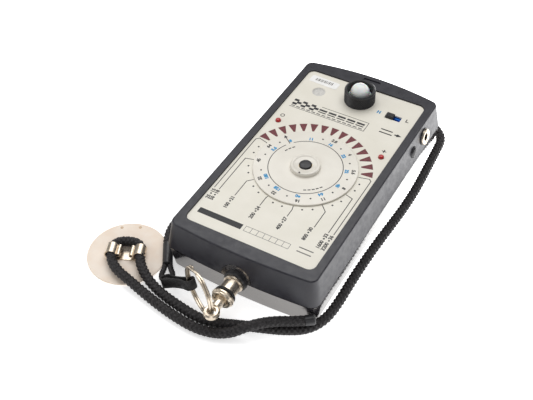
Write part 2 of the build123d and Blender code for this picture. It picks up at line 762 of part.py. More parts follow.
# ---------------------------------------------------------------- neck cord
# The tab is a short folded strap: the ring passes through one end, the cord's eye through the other.
tab_ring_angle = 209
tab_ring_end = ring_point(tab_ring_angle)
tab_cord_end = Vector(-33.6, -86.6, 3.6)
tab_along = tab_cord_end - tab_ring_end
wire_direction = ring_outward(tab_ring_angle - 90)
tab_up = wire_direction - tab_along * (wire_direction.dot(tab_along) / tab_along.length ** 2)
tab_plane = Plane(origin=tab_ring_end, x_dir=tab_along, z_dir=tab_up)
tab_height = 4.0
tab_hole = 2.1

with BuildPart() as cord_tab:
    with BuildSketch(tab_plane.offset(-tab_height / 2)):
        with Locations((0, 0), (tab_along.length, 0)):
            Circle(3.0)
        with Locations((tab_along.length / 2, 0)):
            Rectangle(tab_along.length - 3, 4.4)
        Circle(tab_hole, mode=Mode.SUBTRACT)
    extrude(amount=tab_height)

# The sleeve holds the cord's end and both ends of its eye.
sleeve_near = Vector(-39.7, -77.3, 2.75)
sleeve_along = Vector(-0.53, 0.84, 0.11).normalized()
sleeve_length = 13.0
sleeve_far = sleeve_near + sleeve_along * sleeve_length
with BuildPart() as cord_sleeve:
    add(turned([(0, 0), (2.3, 0), (2.6, 0.35), (2.6, sleeve_length - 0.35), (2.45, sleeve_length),
                (0, sleeve_length)], Plane(origin=sleeve_near, z_dir=sleeve_along)))


def eye_point(reach, offset):
    """A point of the eye's flat loop, a reach out of the sleeve and an offset to its right."""
    return (
        sleeve_near.X - sleeve_along.X * reach + 0.846 * offset,
        sleeve_near.Y - sleeve_along.Y * reach + 0.534 * offset,
        sleeve_near.Z,
    )


eye_route = [
    eye_point(0, -1.3), eye_point(3.0, -1.6), eye_point(5.8, -2.9), eye_point(9.6, -2.5), eye_point(9.6, 2.5),
    eye_point(5.8, 2.9), eye_point(3.0, 1.6), eye_point(0, 1.3),
]
with BuildPart() as eye_cord:
    add(cord_tube("eye_cord", eye_route, eye_cord_radius, bend_radii(eye_route)))

# The disc and its clip: the cord passes through the two rolls and folds over behind them.
disc_centre = (-63.0, -79.5)
disc_radius = 20.5
disc_thickness = 1.0
clip_centre = (-62.4, -81.1)
clip_across = (0.9165, 0.40)
roll_offset = 7.2
roll_bore = 2.65
roll_skin = 0.45
roll_height = disc_thickness + roll_skin + roll_bore
clip_length = 6.4
clip_plane = Plane(
    origin=(*clip_centre, roll_height), x_dir=(*clip_across, 0), z_dir=(clip_across[1], -clip_across[0], 0))

with BuildPart() as neck_disc:
    add(turned([(0, 0), (disc_radius - 0.4, 0), (disc_radius, 0.4), (disc_radius, disc_thickness - 0.4),
                (disc_radius - 0.4, disc_thickness), (0, disc_thickness)], Plane(origin=(*disc_centre, 0))))

with BuildPart() as disc_clip:
    with BuildSketch(clip_plane):
        # base plate on the disc
        with Locations((0, disc_thickness - roll_height + roll_skin / 2)):
            Rectangle(2 * roll_offset, roll_skin)
        for side in (-1, 1):
            # roll round the cord, open at its lower inner side, with a small curl at its free edge
            with Locations((side * roll_offset, 0)):
                Circle(roll_bore + roll_skin)
                Circle(roll_bore, mode=Mode.SUBTRACT)
            with BuildLine():
                Polyline(
                    (side * (roll_offset - 1.2), -1.35), (side * (roll_offset - 4.2), -1.9),
                    (side * (roll_offset - 4.2), -0.35), (side * (roll_offset - 2.0), -0.35), close=True,
                )
            make_face(mode=Mode.SUBTRACT)
            with Locations((side * (roll_offset - roll_bore - roll_skin - 0.75), 0.25)):
                Circle(1.15)
                Circle(0.65, mode=Mode.SUBTRACT)
    extrude(amount=clip_length / 2, both=True)

# The cord's route: from the sleeve along the left side, round the sensor end, down the right side,
# past the front corner and out to the disc, over the clip, back to the corner and over itself there.
rest = cord_height               # of the cord's middle where it lies on the table
neck_route = [
    (sleeve_far.X, sleeve_far.Y, sleeve_far.Z), (-51.8, -58.2, 3.4), (-51.2, -45, rest), (-48.2, -27, rest),
    (-47.9, -7, rest), (-49.0, 13, rest), (-48.4, 33, rest), (-48.1, 51, rest), (-47.2, 66, rest),
    (-41.4, 78.8, rest), (-28, 85.0, rest), (-11, 86.8, rest), (8, 85.9, rest), (24.0, 84.9, rest),
    (36.2, 81.9, rest), (44.0, 74.6, rest), (45.0, 62, rest), (46.2, 45, rest), (47.2, 28, rest),
    (46.9, 10, rest), (45.7, -8, rest), (44.9, -26, rest), (44.8, -43, rest), (45.2, -57.5, rest),
    (44.3, -69.6, rest), (39.3, -78.5, rest), (30.2, -84.0, rest),
    (19.8, -88.1, rest), (9.8, -91.7, rest), (1, -95.6, rest), (-8, -97.4, rest), (-19, -96.1, rest),
    (-29.5, -94.3, rest), (-38.5, -91.9, 3.2), (-46.0, -88.2, 4.2), (-52.9, -82.7, 4.3),
    (-58.48, -72.08, roll_height), (-71.68, -77.84, roll_height), (-66.8, -88.2, 4.3), (-59.6, -93.0, 4.2),
    (-49.9, -95.4, 4.1), (-40.2, -97.6, 3.0), (-30, -99.9, rest), (-18, -102.1, rest), (-6.5, -103.0, rest),
    (3.4, -101.2, 2.8), (10.5, -97.6, 4.0), (16.2, -94.0, 8.2), (22.0, -88.3, 8.4), (27.6, -83.9, 7.9),
    (33.2, -80.9, 7.75), (38.0, -77.7, 7.75),
]
with BuildPart() as neck_cord:
    add(cord_tube("neck_cord", neck_route, cord_radius, bend_radii(neck_route)))

with BuildPart() as cord_tip:
    tip_start = Vector(*neck_route[-1])
    tip_end = Vector(42.0, -74.8, 7.9)
    tip_length = (tip_end - tip_start).length
    add(turned([(0, 0), (2.6, 0), (2.6, tip_length - 0.7), (1.9, tip_length), (0, tip_length)],
               Plane(origin=tip_start, z_dir=tip_end - tip_start)))

# ---------------------------------------------------------------- files
pieces = {
    "upper_case": upper_case, "lower_case": lower_case, "battery_cover": battery_cover,
    "case_screws": case_screws, "facia_panel": facia_panel, "window_filter": window_filter,
    "display_leds": display_leds, "under_led": under_led, "over_led": over_led, "stock_label": stock_label,
    "sensor_collar": sensor_collar, "diffuser_dome": diffuser_dome, "photodiode": photodiode,
    "trimmer_cap": trimmer_cap, "trimmer": trimmer, "calculator_dial": calculator_dial,
    "dial_hub": dial_hub, "dial_bush": dial_bush, "dial_washer": dial_washer, "dial_clip": dial_clip,
    "reset_button": reset_button, "reset_spring": reset_spring, "reset_switch": reset_switch,
    "range_switch": range_switch, "range_knob": range_knob, "sync_socket": sync_socket,
    "sync_washer": sync_washer, "sync_nut": sync_nut, "sync_contact": sync_contact,
    "flash_button": flash_button, "flash_spring": flash_spring, "flash_switch": flash_switch,
    "circuit_board": circuit_board, "board_screws": board_screws, "logic_chips": logic_chips,
    "capacitors": capacitors, "battery": battery, "battery_snap": battery_snap,
    "battery_leads": battery_leads, "battery_foam": battery_foam, "coupling_bezel": coupling_bezel,
    "coupling_nut": coupling_nut, "coupling_barrel": coupling_barrel, "barrel_ring": barrel_ring,
    "release_collar": release_collar, "coupling_plug": coupling_plug, "split_ring": split_ring,
    "cord_tab": cord_tab, "cord_sleeve": cord_sleeve, "eye_cord": eye_cord, "neck_cord": neck_cord,
    "cord_tip": cord_tip, "neck_disc": neck_disc, "disc_clip": disc_clip,
}
os.makedirs("parts", exist_ok=True)
for name, piece in pieces.items():
    piece.part.label = name
    export_step(piece.part, f"parts/{name}.step")
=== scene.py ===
import json
import math

import bpy
from mathutils import Matrix, Vector


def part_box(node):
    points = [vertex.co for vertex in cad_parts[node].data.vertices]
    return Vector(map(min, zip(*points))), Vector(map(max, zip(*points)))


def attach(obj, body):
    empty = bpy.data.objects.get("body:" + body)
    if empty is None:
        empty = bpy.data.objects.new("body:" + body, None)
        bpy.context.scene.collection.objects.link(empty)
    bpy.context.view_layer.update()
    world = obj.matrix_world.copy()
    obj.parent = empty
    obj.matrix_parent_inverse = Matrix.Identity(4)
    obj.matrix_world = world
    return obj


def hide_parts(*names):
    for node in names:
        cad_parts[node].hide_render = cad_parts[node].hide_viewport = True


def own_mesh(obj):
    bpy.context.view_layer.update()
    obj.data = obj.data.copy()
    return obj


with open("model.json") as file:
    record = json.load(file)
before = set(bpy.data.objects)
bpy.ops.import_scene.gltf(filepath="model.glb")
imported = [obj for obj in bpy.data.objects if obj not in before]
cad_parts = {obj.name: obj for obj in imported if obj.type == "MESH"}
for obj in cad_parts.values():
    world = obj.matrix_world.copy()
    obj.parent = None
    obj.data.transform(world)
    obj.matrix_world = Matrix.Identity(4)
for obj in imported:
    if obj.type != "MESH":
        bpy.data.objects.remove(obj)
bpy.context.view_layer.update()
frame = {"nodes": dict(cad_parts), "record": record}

MM = 0.001

# ---------------------------------------------------------------- places, from the frame
PANEL_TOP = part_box("facia_panel")[1].z
DIAL_LOW, DIAL_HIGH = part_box("calculator_dial")
DIAL_CENTRE = (DIAL_LOW + DIAL_HIGH) / 2
DIAL_TOP = DIAL_HIGH.z
HUB_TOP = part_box("dial_hub")[1].z
LABEL_LOW, LABEL_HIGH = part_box("stock_label")
LABEL_CENTRE = (LABEL_LOW + LABEL_HIGH) / 2
RING_JOINT = next(j for j in frame["record"]["behaviour"]["joints"] if j["name"] == "ring_spin")
RING_CENTRE = Vector(RING_JOINT["pos_m"])
RING_NORMAL = Vector(RING_JOINT["axis"]).normalized()
RING_RADIUS = 12.0 * MM          # to the middle of the wire
DISC_LOW, DISC_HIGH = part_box("neck_disc")
PRINT_GAP = 0.007 * MM           # between a surface and the print on it
PRINT_THICKNESS = 0.03 * MM
UP = Vector((0, 0, 1))
RING_SIDE = UP.cross(RING_NORMAL).normalized()


# ---------------------------------------------------------------- camera, lights and floor
CAMERA_PLACE = (0.15475, -0.30068, 0.34855)
CAMERA_RIGHT = Vector((0.8665, 0.49865, -0.02292)).normalized()
CAMERA_UP = Vector((-0.3449, 0.6312, 0.6947)).normalized()
FOCAL_LENGTH = 61.34             # millimetres, on a sensor 36 mm wide
SENSOR_WIDTH = 36.0
FLOOR_HALF = 3.0
FLOOR_DROP = 0.02 * MM           # keeps the floor's face just below the object's


def set_camera():
    """The camera stands in front of the meter, some way to the right, and looks down at it."""
    back = CAMERA_RIGHT.cross(CAMERA_UP)
    lens = bpy.data.cameras.new("camera")
    lens.lens = FOCAL_LENGTH
    lens.sensor_width = SENSOR_WIDTH
    lens.clip_start = 0.01
    camera = bpy.data.objects.new("camera", lens)
    camera.matrix_world = Matrix.Translation(CAMERA_PLACE) @ Matrix(
        (CAMERA_RIGHT, CAMERA_UP, back)
    ).transposed().to_4x4()
    bpy.context.collection.objects.link(camera)
    bpy.context.scene.camera = camera


def area_light(name, place, target, size, power):
    """A white rectangular light that points at a target."""
    light = bpy.data.lights.new(name, "AREA")
    light.shape = "RECTANGLE"
    light.size = size[0]
    light.size_y = size[1]
    light.energy = power
    lamp = bpy.data.objects.new(name, light)
    lamp.location = place
    lamp.rotation_euler = (Vector(target) - Vector(place)).to_track_quat("-Z", "Y").to_euler()
    bpy.context.collection.objects.link(lamp)


def set_stage():
    """A dim white world, a large soft light above and two weaker ones at the left and the front."""
    scene = bpy.context.scene
    scene.view_settings.view_transform = "Standard"
    world = bpy.data.worlds.new("studio")
    world.use_nodes = True
    world.node_tree.nodes["Background"].inputs["Color"].default_value = (1.0, 1.0, 1.0, 1.0)
    world.node_tree.nodes["Background"].inputs["Strength"].default_value = 0.30
    scene.world = world
    area_light("overhead", (-0.1, 0.35, 0.9), (0.0, 0.0, 0.0), (1.0, 0.8), 6.6)
    area_light("left_fill", (-0.7, -0.35, 0.5), (0.0, 0.0, 0.0), (0.6, 0.6), 1.5)
    area_light("front_strip", (0.35, -0.8, 0.55), (0.0, -0.03, 0.0), (0.5, 0.35), 0.8)


def make_floor():
    """A white floor that glows more towards the back right than the front left."""
    sweep = bpy.data.meshes.new("floor")
    corners = [(x * FLOOR_HALF, y * FLOOR_HALF, 0) for x, y in ((-1, -1), (1, -1), (1, 1), (-1, 1))]
    sweep.from_pydata(corners, [], [(0, 1, 2, 3)])
    floor = bpy.data.objects.new("floor", sweep)
    floor.location.z = -FLOOR_DROP
    bpy.context.collection.objects.link(floor)
    white = bpy.data.materials.new("floor_white")
    white.use_nodes = True
    shader = white.node_tree.nodes["Principled BSDF"]
    shader.inputs["Base Color"].default_value = (0.93, 0.93, 0.93, 1.0)
    shader.inputs["Roughness"].default_value = 0.7
    shader.inputs["Emission Color"].default_value = (1.0, 1.0, 1.0, 1.0)
    nodes = white.node_tree.nodes
    links = white.node_tree.links
    split = nodes.new("ShaderNodeSeparateXYZ")
    reach = nodes.new("ShaderNodeMath")
    glow = nodes.new("ShaderNodeMapRange")
    glow.inputs["From Min"].default_value = -0.10
    glow.inputs["From Max"].default_value = 0.12
    glow.inputs["To Min"].default_value = 0.5
    glow.inputs["To Max"].default_value = 2.2
    links.new(nodes.new("ShaderNodeTexCoord").outputs["Object"], split.inputs["Vector"])
    links.new(split.outputs["X"], reach.inputs[0])
    links.new(split.outputs["Y"], reach.inputs[1])
    links.new(reach.outputs["Value"], glow.inputs["Value"])
    links.new(glow.outputs["Result"], shader.inputs["Emission Strength"])
    floor.data.materials.append(white)


# ---------------------------------------------------------------- materials
NOISE_LOW, NOISE_HIGH = 0.35, 0.65


class Surface:
    """A Principled material with short ways to add the detail that a real surface has."""

    def __init__(self, name, colour, roughness, metallic=0.0):
        self.material = bpy.data.materials.new(name)
        self.material.use_nodes = True
        self.tree = self.material.node_tree
        self.shader = self.tree.nodes["Principled BSDF"]
        self.set("Base Color", (*colour, 1.0))
        self.set("Roughness", roughness)
        self.set("Metallic", metallic)
        self.place = self.tree.nodes.new("ShaderNodeTexCoord").outputs["Object"]
        self.last_normal = None

    def set(self, socket, value):
        """Put a constant on one of the shader's sockets."""
        self.shader.inputs[socket].default_value = value
        return self

    def noise(self, size, detail):
        """A noise pattern whose grains are about the given size in metres."""
        texture = self.tree.nodes.new("ShaderNodeTexNoise")
        texture.inputs["Scale"].default_value = 1.0 / size
        texture.inputs["Detail"].default_value = detail
        self.tree.links.new(self.place, texture.inputs["Vector"])
        return texture.outputs["Fac"]

    def ramp(self, source, low, high):
        """A colour ramp between two colours, over the values that noise mostly has."""
        ramp = self.tree.nodes.new("ShaderNodeValToRGB")
        ramp.color_ramp.elements[0].position = NOISE_LOW
        ramp.color_ramp.elements[1].position = NOISE_HIGH
        ramp.color_ramp.elements[0].color = (*low, 1.0)
        ramp.color_ramp.elements[1].color = (*high, 1.0)
        self.tree.links.new(source, ramp.inputs["Fac"])
        return ramp.outputs["Color"]

    def vary_colour(self, size, low, high):
        """Let the colour wander between two colours."""
        colours = self.ramp(self.noise(size, 4.0), low, high)
        self.tree.links.new(colours, self.shader.inputs["Base Color"])
        return self

    def vary_roughness(self, size, low, high):
        """Let the roughness wander between two values."""
        span = self.tree.nodes.new("ShaderNodeMapRange")
        span.inputs["From Min"].default_value = NOISE_LOW
        span.inputs["From Max"].default_value = NOISE_HIGH
        span.inputs["To Min"].default_value = low
        span.inputs["To Max"].default_value = high
        self.tree.links.new(self.noise(size, 3.0), span.inputs["Value"])
        self.tree.links.new(span.outputs["Result"], self.shader.inputs["Roughness"])
        return self

    def bump(self, size, depth, strength):
        """Add small dents; a second call adds its dents to those of the first."""
        node = self.tree.nodes.new("ShaderNodeBump")
        node.inputs["Strength"].default_value = strength
        node.inputs["Distance"].default_value = depth
        self.tree.links.new(self.noise(size, 2.0), node.inputs["Height"])
        if self.last_normal is not None:
            self.tree.links.new(self.last_normal, node.inputs["Normal"])
        self.last_normal = node.outputs["Normal"]
        self.tree.links.new(self.last_normal, self.shader.inputs["Normal"])
        return self


def make_materials():
    """One material for each slot of the record, and a few for single pieces."""
    made = {}

    case = Surface("case_black", (0.015, 0.0145, 0.022), 0.38)
    case.vary_colour(6 * MM, (0.012, 0.0115, 0.018), (0.018, 0.0175, 0.026))
    case.vary_roughness(3 * MM, 0.32, 0.44)
    case.bump(0.35 * MM, 0.03 * MM, 0.5).bump(1.6 * MM, 0.03 * MM, 0.25)
    case.set("IOR", 1.52)
    made["case_black"] = case

    # the lower shell is polished: it mirrors the table that it lies on
    gloss = Surface("case_gloss", (0.018, 0.017, 0.021), 0.18)
    gloss.vary_colour(6 * MM, (0.015, 0.0145, 0.018), (0.022, 0.0205, 0.0245))
    gloss.vary_roughness(3 * MM, 0.14, 0.22).bump(1.6 * MM, 0.02 * MM, 0.15)
    gloss.set("IOR", 1.9)
    gloss.set("Specular IOR Level", 1.0).set("Specular Tint", (1.0, 0.95, 0.91, 1.0)).set("Coat Weight", 0.5)
    made["case_gloss"] = gloss

    panel = Surface("panel_cream", (0.80, 0.765, 0.67), 0.38)
    panel.vary_colour(14 * MM, (0.78, 0.745, 0.65), (0.82, 0.785, 0.695))
    panel.bump(0.5 * MM, 0.01 * MM, 0.4)
    panel.set("Coat Weight", 0.15)
    made["panel_cream"] = panel

    red_filter = Surface("filter_red", (0.15, 0.014, 0.02), 0.4)
    red_filter.vary_colour(0.8 * MM, (0.085, 0.008, 0.012), (0.20, 0.022, 0.03))
    red_filter.bump(0.4 * MM, 0.04 * MM, 0.5)
    made["filter_red"] = red_filter

    led = Surface("led_red", (0.45, 0.012, 0.015), 0.18)
    led.vary_colour(1.2 * MM, (0.38, 0.008, 0.01), (0.52, 0.02, 0.022))
    led.set("Subsurface Weight", 0.25).set("Subsurface Scale", 1.0 * MM).set("Coat Weight", 0.6)
    made["led_red"] = led

    label = Surface("label_paper", (0.90, 0.89, 0.87), 0.45)
    label.vary_colour(2 * MM, (0.87, 0.86, 0.84), (0.93, 0.925, 0.91)).bump(0.15 * MM, 0.01 * MM, 0.4)
    made["label_paper"] = label

    black = Surface("plastic_black", (0.018, 0.018, 0.020), 0.36)
    black.vary_colour(2 * MM, (0.014, 0.014, 0.016), (0.024, 0.023, 0.026))
    black.vary_roughness(1.5 * MM, 0.3, 0.45).bump(0.3 * MM, 0.015 * MM, 0.4)
    made["plastic_black"] = black

    dome = Surface("dome_white", (0.80, 0.82, 0.80), 0.32)
    dome.vary_colour(4 * MM, (0.76, 0.79, 0.765), (0.84, 0.855, 0.84))
    dome.set("Subsurface Weight", 0.2).set("Subsurface Scale", 1.5 * MM).bump(0.25 * MM, 0.01 * MM, 0.3)
    made["dome_white"] = dome

    cap = Surface("cap_grey", (0.60, 0.585, 0.55), 0.4)
    cap.vary_colour(1 * MM, (0.54, 0.53, 0.50), (0.66, 0.645, 0.61)).bump(0.5 * MM, 0.04 * MM, 0.5)
    made["cap_grey"] = cap

    blue = Surface("plastic_blue", (0.01, 0.15, 0.62), 0.3)
    blue.vary_colour(1.5 * MM, (0.008, 0.12, 0.55), (0.014, 0.18, 0.70)).bump(0.4 * MM, 0.01 * MM, 0.3)
    made["plastic_blue"] = blue

    dial = Surface("dial_cream", (0.80, 0.76, 0.68), 0.3)
    dial.vary_colour(12 * MM, (0.775, 0.735, 0.655), (0.825, 0.79, 0.71))
    dial.bump(0.5 * MM, 0.006 * MM, 0.3).set("Coat Weight", 0.2)
    made["dial_cream"] = dial

    brass = Surface("brass_turned", (0.70, 0.53, 0.28), 0.3, 1.0)
    brass.vary_colour(2 * MM, (0.62, 0.46, 0.23), (0.76, 0.59, 0.33)).bump(0.1 * MM, 0.01 * MM, 0.3)
    made["brass_turned"] = brass

    steel = Surface("screw_steel", (0.56, 0.56, 0.57), 0.32, 1.0)
    steel.vary_colour(1 * MM, (0.48, 0.48, 0.49), (0.62, 0.62, 0.63)).bump(0.15 * MM, 0.01 * MM, 0.4)
    made["screw_steel"] = steel

    nickel = Surface("nickel", (0.72, 0.62, 0.50), 0.3, 1.0)
    nickel.vary_colour(5 * MM, (0.67, 0.575, 0.455), (0.76, 0.67, 0.555))
    nickel.vary_roughness(2.5 * MM, 0.25, 0.34).bump(0.25 * MM, 0.002 * MM, 0.3)
    made["nickel"] = nickel

    board = Surface("board_green", (0.04, 0.18, 0.08), 0.4)
    board.vary_colour(1.5 * MM, (0.03, 0.15, 0.065), (0.05, 0.21, 0.10)).bump(0.3 * MM, 0.02 * MM, 0.4)
    made["board_green"] = board

    battery = Surface("battery_steel", (0.10, 0.10, 0.11), 0.35, 0.3)
    battery.vary_colour(5 * MM, (0.08, 0.08, 0.09), (0.12, 0.12, 0.13)).bump(0.5 * MM, 0.01 * MM, 0.3)
    made["battery_steel"] = battery

    foam = Surface("foam_grey", (0.22, 0.22, 0.23), 0.9)
    foam.vary_colour(0.6 * MM, (0.15, 0.15, 0.16), (0.28, 0.28, 0.29)).bump(0.6 * MM, 0.3 * MM, 0.8)
    made["foam_grey"] = foam

    rubber = Surface("ring_rubber", (0.014, 0.014, 0.015), 0.5)
    rubber.vary_colour(1 * MM, (0.010, 0.010, 0.011), (0.020, 0.020, 0.021)).bump(0.3 * MM, 0.02 * MM, 0.4)
    made["ring_rubber"] = rubber

    cord = Surface("cord_black", (0.022, 0.020, 0.021), 0.5)
    cord.vary_colour(1.1 * MM, (0.013, 0.012, 0.0125), (0.034, 0.031, 0.033))
    cord.bump(0.22 * MM, 0.06 * MM, 0.7).set("Specular IOR Level", 0.3)
    cord.set("Sheen Weight", 0.03).set("Sheen Roughness", 0.4).set("Sheen Tint", (0.9, 0.75, 0.7, 1.0))
    made["cord_black"] = cord

    strap = Surface("strap_black", (0.014, 0.013, 0.014), 0.5)
    strap.vary_colour(1.5 * MM, (0.010, 0.0095, 0.010), (0.022, 0.021, 0.022))
    strap.vary_roughness(1 * MM, 0.42, 0.6).bump(0.25 * MM, 0.05 * MM, 0.6)
    made["strap_black"] = strap

    disc = Surface("disc_cream", (0.93, 0.80, 0.68), 0.5)
    disc.vary_colour(7 * MM, (0.91, 0.77, 0.64), (0.95, 0.84, 0.73)).bump(0.4 * MM, 0.03 * MM, 0.4)
    disc.bump(5 * MM, 0.12 * MM, 0.25)
    made["disc_cream"] = disc

    tan = Surface("disc_tan", (0.68, 0.50, 0.34), 0.6)
    tan.vary_colour(1 * MM, (0.60, 0.42, 0.27), (0.76, 0.60, 0.44))
    made["disc_tan"] = tan

    ink = Surface("ink_black", (0.012, 0.012, 0.014), 0.5)
    ink.vary_colour(0.6 * MM, (0.010, 0.010, 0.012), (0.022, 0.022, 0.024))
    made["ink_black"] = ink

    grey_ink = Surface("ink_grey", (0.14, 0.135, 0.13), 0.5)
    grey_ink.vary_colour(0.6 * MM, (0.11, 0.105, 0.10), (0.18, 0.172, 0.165))
    made["ink_grey"] = grey_ink

    blue_ink = Surface("ink_blue", (0.0, 0.27, 0.55), 0.5)
    blue_ink.vary_colour(0.6 * MM, (0.0, 0.23, 0.50), (0.005, 0.31, 0.61))
    made["ink_blue"] = blue_ink
    return {name: surface.material for name, surface in made.items()}


def dress_nodes(materials):
    """Give every CAD node the material of its slot in the record; the lower shell is glossier."""
    for entry in frame["record"]["subparts"]:
        node = frame["nodes"][entry["node"]]
        name = "case_gloss" if entry["node"] == "lower_case" else entry["material_slot"]
        node.data.materials.clear()
        node.data.materials.append(materials[name])


# ---------------------------------------------------------------- print on the panel and the dial
CAP_HEIGHT = 0.73                # a numeral's height as a share of its font's size
SPEED_DIGITS = 1.95 * MM
DIAL_DIGITS = 1.85 * MM
LEADER_BEND = 5.6 * MM           # the longest a leader runs before it bends
NO_DOT = 4                       # which of the dial's twelve places for a dot stays empty
# distances from the dial's middle, in millimetres
LEADER_START = 27.4
PAIRED_DOTS = 29.1
OUTER_NUMBERS = 24.3
INNER_NUMBERS = 20.9
SINGLE_DOTS = 22.6


class Print:
    """Thin flat shapes in one ink, gathered into one piece."""

    def __init__(self, surface):
        self.low = surface + PRINT_GAP
        self.high = self.low + PRINT_THICKNESS
        self.vertices = []
        self.faces = []

    def add(self, vertices, faces):
        """Add a closed shape; its faces count from its own first vertex."""
        first = len(self.vertices)
        self.vertices += [tuple(v) for v in vertices]
        self.faces += [tuple(first + i for i in face) for face in faces]

    def polygon(self, outline):
        """A closed slab from outline points in metres, listed anticlockwise."""
        count = len(outline)
        low = [(x, y, self.low) for x, y in outline]
        high = [(x, y, self.high) for x, y in outline]
        sides = [(i, (i + 1) % count, count + (i + 1) % count, count + i) for i in range(count)]
        self.add(low + high, [tuple(reversed(range(count))), tuple(range(count, 2 * count)), *sides])

    def bar(self, centre, size, angle=0.0):
        """A rectangle round a centre, turned by an angle."""
        turn = Matrix.Rotation(angle, 2)
        half = Vector(size) / 2
        corners = [(-half.x, -half.y), (half.x, -half.y), (half.x, half.y), (-half.x, half.y)]
        self.polygon([Vector(centre) + turn @ Vector(c) for c in corners])

    def line(self, points, width):
        """A bent line; each run reaches a little past its ends so that the corners close."""
        for a, b in zip(points, points[1:]):
            run = Vector(b) - Vector(a)
            self.bar((Vector(a) + Vector(b)) / 2, (run.length + width * 0.9, width), math.atan2(run.y, run.x))

    def dot(self, centre, radius, count=14):
        """A round dot."""
        self.polygon([
            (centre[0] + radius * math.cos(2 * math.pi * i / count),
             centre[1] + radius * math.sin(2 * math.pi * i / count)) for i in range(count)
        ])

    def arc(self, centre, radius, width, start, end, step):
        """Part of a circle's line, between two angles, in pieces of about the step's size in degrees."""
        count = max(2, round(abs(end - start) / step))
        angles = [math.radians(start + (end - start) * i / count) for i in range(count + 1)]
        for a, b in zip(angles, angles[1:]):
            near, far = radius - width / 2, radius + width / 2
            self.polygon([
                (centre[0] + r * math.cos(t), centre[1] + r * math.sin(t))
                for r, t in ((near, a), (far, a), (far, b), (near, b))
            ])

    def digits(self, words, centre, height, angle, weight):
        """Numerals, centred on a point and turned by an angle; weight thickens their strokes."""
        font = bpy.data.curves.new("numerals", "FONT")
        font.body = words
        font.size = height / CAP_HEIGHT
        font.align_x = "CENTER"
        font.align_y = "CENTER"
        font.resolution_u = 3
        font.offset = weight
        font.extrude = PRINT_THICKNESS / 2
        holder = bpy.data.objects.new("numerals", font)
        bpy.context.collection.objects.link(holder)
        flat = bpy.data.meshes.new_from_object(holder.evaluated_get(bpy.context.evaluated_depsgraph_get()))
        middle = (centre[0], centre[1], self.low + PRINT_THICKNESS / 2)
        place = Matrix.Translation(middle) @ Matrix.Rotation(angle, 4, "Z")
        self.add([place @ v.co for v in flat.vertices], [p.vertices[:] for p in flat.polygons])
        bpy.data.objects.remove(holder)
        bpy.data.curves.remove(font)
        bpy.data.meshes.remove(flat)

    def finish(self, name, body, material, slot):
        """Make the piece, which rides on a body; the slot argument is not used."""
        mesh = bpy.data.meshes.new(name)
        mesh.from_pydata(self.vertices, [], self.faces)
        mesh.materials.append(material)
        piece = bpy.data.objects.new(name, mesh)
        bpy.context.collection.objects.link(piece)
        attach(piece, body)


def polar(radius, degrees):
    """A point at a radius in millimetres from the dial's centre."""
    angle = math.radians(degrees)
    return (DIAL_CENTRE.x + radius * MM * math.cos(angle), DIAL_CENTRE.y + radius * MM * math.sin(angle))


def mm(*values):
    """Millimetres as metres."""
    return tuple(v * MM for v in values)


def print_speed_scale(black):
    """Film-speed numbers with their leader lines, and the pairs of dots round the dial."""
    # for each leader: its angle, the columns of its foot and of its numbers, and the two numbers
    leaders = [
        (14.4, 33.2, 32.9, "3200", "36"), (-15, 30.4, 30.2, "1600", "33"), (-44.3, 22.8, 21.9, "800", "30"),
        (-74.4, 8.0, 7.9, "400", "27"), (-104.5, -7.2, -7.1, "200", "24"), (-134, -21.5, -21.6, "100", "21"),
        (-165, -30.6, -30.4, "50", "18"), (165, -33.4, -32.7, "25", "15"),
    ]
    upright = math.radians(90)
    for angle, column, label, speed, degrees in leaders:
        start = Vector(polar(LEADER_START, angle))
        radial = Vector((math.cos(math.radians(angle)), math.sin(math.radians(angle))))
        along = (column * MM - start.x) / radial.x
        corner = start + radial * min(along, LEADER_BEND)
        foot = (column * MM, -40.4 * MM)
        slope = 0.0 if along <= LEADER_BEND else abs(column * MM - corner.x)
        black.line([start, corner, (column * MM, corner.y - slope), foot], 0.4 * MM)
        black.digits(degrees, mm(label, -42.7), SPEED_DIGITS, upright, 0.1 * MM)
        black.dot(mm(label, -44.85), 0.5 * MM)
        black.digits(speed, mm(label, -45.8 - 0.8 * len(speed)), SPEED_DIGITS, upright, 0.1 * MM)

    for base in (0, -30, -60, -90, -120, -150, 180):
        for side in (-5, 5):
            black.dot(polar(PAIRED_DOTS, base + side), 0.5 * MM)


def print_marks(black, blue):
    """Plain marks beside the lamps, the range switch and the open-flash button."""
    # lamps: a ring at the left one, a cross at the right one
    black.arc(mm(-30.3, 23.6), 1.05 * MM, 0.42 * MM, 0, 360, 20)
    black.bar(mm(29.7, 23.4), mm(2.4, 0.5))
    black.bar(mm(29.7, 23.4), mm(0.5, 2.4))

    # range: joined strokes at each end of the slot
    for x in (13.5, 14.9):
        blue.bar(mm(x, 50.5), mm(0.55, 2.5))
    blue.bar(mm(14.2, 50.5), mm(1.4, 0.55))
    black.bar(mm(30.1, 50.7), mm(0.5, 2.4))
    black.bar(mm(30.8, 49.72), mm(1.7, 0.5))

    # open flash: an arrow with two plain strokes beside it
    black.bar(mm(24.2, 38.9), mm(6.6, 0.75))
    black.bar(mm(24.4, 36.4), mm(7.2, 0.75))
    black.bar(mm(29.9, 37.6), mm(1.6, 0.9))
    black.polygon([mm(30.4, 36.4), mm(33.0, 37.6), mm(30.4, 38.8)])


